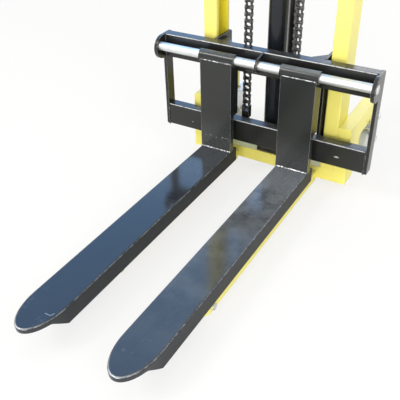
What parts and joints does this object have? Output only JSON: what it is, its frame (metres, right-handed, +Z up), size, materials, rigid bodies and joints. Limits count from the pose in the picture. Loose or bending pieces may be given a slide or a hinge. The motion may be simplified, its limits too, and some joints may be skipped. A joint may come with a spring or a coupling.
{
  "type": "hand-operated stacker truck",
  "caption": "Hand-operated hydraulic stacker: chain-lifted carriage in a channel mast, forks that slide on a cross shaft, low legs with rollers, swivel casters and a pump lever.",
  "frame": {"origin": "on the floor, under the middle of the footprint", "axes": "+Z up, forks towards -Y, +X to the right seen from the fork side"},
  "size_m": [0.666, 1.2495, 1.968],
  "materials": {
    "yellow_paint": "gloss enamel",
    "black_paint": "gloss enamel",
    "zinc_steel": "zinc plated",
    "chrome_rod": "hard chrome",
    "bare_steel": "oiled steel",
    "grey_nylon": "cast nylon",
    "cast_pump": "painted casting",
    "red_plastic": "moulded"
  },
  "bodies": {
    "frame": {"base_front_beam": "yellow_paint", "base_arm_left": "yellow_paint", "base_arm_right": "yellow_paint", "leg_left": "yellow_paint", "leg_right": "yellow_paint", "leg_axles": "zinc_steel", "mast_column_left": "yellow_paint", "mast_column_right": "yellow_paint", "mast_head_beam": "yellow_paint", "mast_rear_brace": "yellow_paint", "grab_handle_left": "black_paint", "grab_handle_right": "black_paint", "cylinder_foot": "black_paint", "cylinder_barrel": "black_paint", "cylinder_gland": "black_paint", "pump_shelf": "yellow_paint", "pump_body": "cast_pump", "pump_filler_cap": "red_plastic", "oil_pipe": "bare_steel", "chain_rear_runs": "bare_steel", "chain_fixed_anchors": "zinc_steel", "caster_plates": "zinc_steel"},
    "carriage": {"carriage_upper_beam": "black_paint", "carriage_lower_beam": "black_paint", "carriage_end_plate_left": "black_paint", "carriage_end_plate_right": "black_paint", "carriage_centre_plate": "black_paint", "carriage_gussets": "black_paint", "roller_plate_left": "black_paint", "roller_plate_right": "black_paint", "fork_shaft": "zinc_steel", "chain_front_runs": "bare_steel", "chain_carriage_anchors": "black_paint"},
    "lift_rod": {"piston_rod": "chrome_rod", "cylinder_piston": "bare_steel", "crosshead": "black_paint", "pulley_axle": "zinc_steel", "chain_wraps": "bare_steel"},
    "lever": {"pump_lever": "black_paint", "lever_handle": "black_paint"},
    "plunger": {"pump_plunger": "chrome_rod"},
    "release": {"pump_release_lever": "zinc_steel"},
    "pulley_left": {"chain_pulley_left": "bare_steel"},
    "mast_roller_lower_left": {"mast_roller_lower_left": "bare_steel"},
    "mast_roller_upper_left": {"mast_roller_upper_left": "bare_steel"},
    "fork_left": {"fork_left_blade": "black_paint", "fork_left_upright": "black_paint"},
    "leg_roller_left": {"leg_roller_left": "grey_nylon"},
    "caster_left": {"caster_yoke_left": "zinc_steel"},
    "wheel_left": {"caster_wheel_left": "grey_nylon"},
    "brake_left": {"caster_brake_left": "zinc_steel"},
    "pulley_right": {"chain_pulley_right": "bare_steel"},
    "mast_roller_lower_right": {"mast_roller_lower_right": "bare_steel"},
    "mast_roller_upper_right": {"mast_roller_upper_right": "bare_steel"},
    "fork_right": {"fork_right_blade": "black_paint", "fork_right_upright": "black_paint"},
    "leg_roller_right": {"leg_roller_right": "grey_nylon"},
    "caster_right": {"caster_yoke_right": "zinc_steel"},
    "wheel_right": {"caster_wheel_right": "grey_nylon"},
    "brake_right": {"caster_brake_right": "zinc_steel"}
  },
  "joints": [
    {"name": "carriage_lift", "type": "slide", "parent": "frame", "child": "carriage", "axis": [0, 0, 1], "range_m": [0, 1.51], "deforming": ["chain_front_runs", "chain_rear_runs"]},
    {"name": "rod_extend", "type": "slide", "parent": "frame", "child": "lift_rod", "axis": [0, 0, 1], "range_m": [0, 0.755]},
    {"name": "pump_stroke", "type": "hinge", "parent": "frame", "child": "lever", "pos_m": [0, 0.47225, 0.183], "axis": [-1, 0, 0], "range_deg": [0, 40], "stiffness_Nm_per_rad": 30, "springref_deg": -28.65},
    {"name": "plunger_slide", "type": "slide", "parent": "frame", "child": "plunger", "axis": [0, 0, -1], "range_m": [0, 0.0303]},
    {"name": "release_press", "type": "hinge", "parent": "frame", "child": "release", "pos_m": [0.05, 0.51025, 0.1058], "axis": [-1, 0, 0], "range_deg": [0, 25], "stiffness_Nm_per_rad": 0.6, "springref_deg": -34.38},
    {"name": "pulley_left_turn", "type": "hinge", "parent": "lift_rod", "child": "pulley_left", "pos_m": [-0.074, 0.36005, 1.0743], "axis": [-1, 0, 0], "continuous": true},
    {"name": "mast_roller_lower_left_roll", "type": "hinge", "parent": "carriage", "child": "mast_roller_lower_left", "pos_m": [-0.195, 0.36025, 0.15], "axis": [1, 0, 0], "continuous": true},
    {"name": "mast_roller_upper_left_roll", "type": "hinge", "parent": "carriage", "child": "mast_roller_upper_left", "pos_m": [-0.195, 0.36025, 0.365], "axis": [1, 0, 0], "continuous": true},
    {"name": "fork_left_slide", "type": "slide", "parent": "carriage", "child": "fork_left", "axis": [1, 0, 0], "range_m": [-0.137, 0.062]},
    {"name": "leg_roller_left_roll", "type": "hinge", "parent": "frame", "child": "leg_roller_left", "pos_m": [-0.1335, -0.30775, 0.021], "axis": [1, 0, 0], "continuous": true},
    {"name": "caster_left_swivel", "type": "hinge", "parent": "frame", "child": "caster_left", "pos_m": [-0.2385, 0.52425, 0.13], "axis": [0, 0, 1], "continuous": true},
    {"name": "wheel_left_roll", "type": "hinge", "parent": "caster_left", "child": "wheel_left", "pos_m": [-0.2385, 0.56225, 0.0625], "axis": [1, 0, 0], "continuous": true},
    {"name": "brake_left_press", "type": "hinge", "parent": "caster_left", "child": "brake_left", "pos_m": [-0.2385, 0.59825, 0.1245], "axis": [-1, 0, 0], "range_deg": [0, 20]},
    {"name": "pulley_right_turn", "type": "hinge", "parent": "lift_rod", "child": "pulley_right", "pos_m": [0.074, 0.36005, 1.0743], "axis": [-1, 0, 0], "continuous": true},
    {"name": "mast_roller_lower_right_roll", "type": "hinge", "parent": "carriage", "child": "mast_roller_lower_right", "pos_m": [0.195, 0.36025, 0.15], "axis": [1, 0, 0], "continuous": true},
    {"name": "mast_roller_upper_right_roll", "type": "hinge", "parent": "carriage", "child": "mast_roller_upper_right", "pos_m": [0.195, 0.36025, 0.365], "axis": [1, 0, 0], "continuous": true},
    {"name": "fork_right_slide", "type": "slide", "parent": "carriage", "child": "fork_right", "axis": [1, 0, 0], "range_m": [-0.062, 0.137]},
    {"name": "leg_roller_right_roll", "type": "hinge", "parent": "frame", "child": "leg_roller_right", "pos_m": [0.1335, -0.30775, 0.021], "axis": [1, 0, 0], "continuous": true},
    {"name": "caster_right_swivel", "type": "hinge", "parent": "frame", "child": "caster_right", "pos_m": [0.2385, 0.52425, 0.13], "axis": [0, 0, 1], "continuous": true},
    {"name": "wheel_right_roll", "type": "hinge", "parent": "caster_right", "child": "wheel_right", "pos_m": [0.2385, 0.56225, 0.0625], "axis": [1, 0, 0], "continuous": true},
    {"name": "brake_right_press", "type": "hinge", "parent": "caster_right", "child": "brake_right", "pos_m": [0.2385, 0.59825, 0.1245], "axis": [-1, 0, 0], "range_deg": [0, 20]}
  ],
  "couplings": [
    {"joint": "rod_extend", "follows": "carriage_lift", "ratio": 0.5},
    {"joint": "plunger_slide", "follows": "pump_stroke", "m_per_rad": 0.043112},
    {"joint": "pulley_left_turn", "follows": "carriage_lift", "rad_per_m": 13.586},
    {"joint": "mast_roller_lower_left_roll", "follows": "carriage_lift", "rad_per_m": -37.736},
    {"joint": "mast_roller_upper_left_roll", "follows": "carriage_lift", "rad_per_m": 37.736},
    {"joint": "pulley_right_turn", "follows": "carriage_lift", "rad_per_m": 13.586},
    {"joint": "mast_roller_lower_right_roll", "follows": "carriage_lift", "rad_per_m": -37.736},
    {"joint": "mast_roller_upper_right_roll", "follows": "carriage_lift", "rad_per_m": 37.736}
  ]
}
